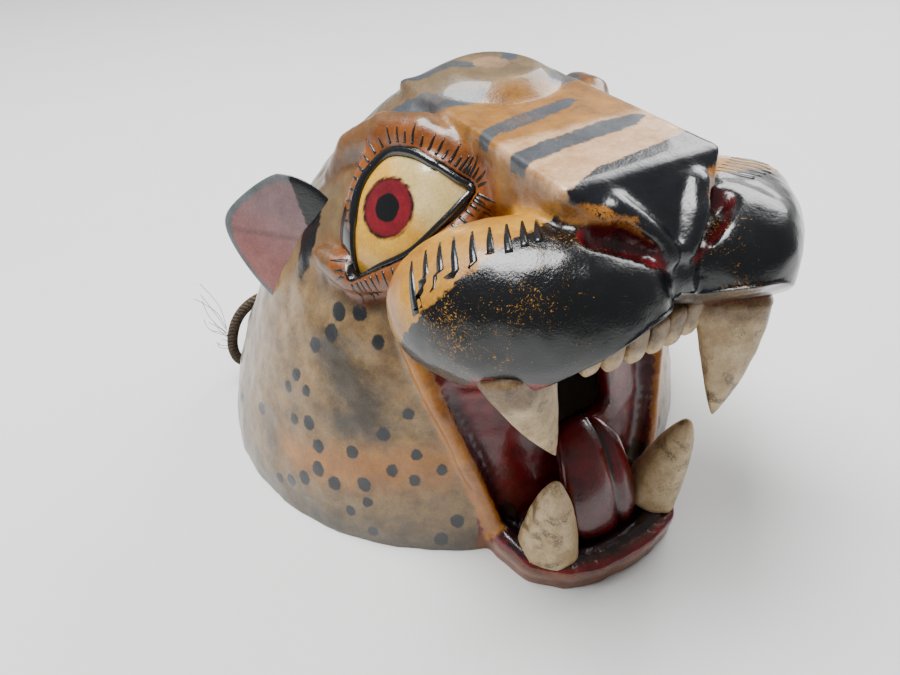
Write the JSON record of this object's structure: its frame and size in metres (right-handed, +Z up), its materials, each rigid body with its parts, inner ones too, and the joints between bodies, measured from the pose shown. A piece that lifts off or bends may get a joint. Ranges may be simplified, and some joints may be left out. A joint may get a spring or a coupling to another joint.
{
  "type": "carved big cat mask",
  "caption": "Hollow carved wooden big cat mask with open fanged mouth, tongue, set-in ears and a head cord, painted and varnished.",
  "frame": {"origin": "on the plane the rim rests on, under the middle of the mask's box", "axes": "+Z up out of the crown, -Y towards the muzzle, +X towards the mask's own left"},
  "size_m": [0.196, 0.209, 0.143],
  "materials": {
    "head_paint": "varnished folk paint on carved wood: ochre, tan and black, worn and speckled",
    "ear_paint": "varnished mauve-pink paint with slate rims",
    "tooth_bone": "dull bone-coloured paint with brown dirt",
    "tongue_paint": "high-gloss dark red paint",
    "cord_hide": "matt dark brown hide cord with stray fibres"
  },
  "bodies": {
    "root": {"head_shell": "head_paint", "ear_right": "ear_paint", "ear_left": "ear_paint", "tongue": "tongue_paint", "head_cord": "cord_hide", "cord_knot_right": "cord_hide", "cord_knot_left": "cord_hide", "upper_canine_right": "tooth_bone", "upper_canine_left": "tooth_bone", "lower_canine_right": "tooth_bone", "lower_canine_left": "tooth_bone", "upper_incisor_1": "tooth_bone", "upper_incisor_2": "tooth_bone", "upper_incisor_3": "tooth_bone", "upper_incisor_4": "tooth_bone", "upper_incisor_5": "tooth_bone", "upper_incisor_6": "tooth_bone"}
  },
  "joints": []
}
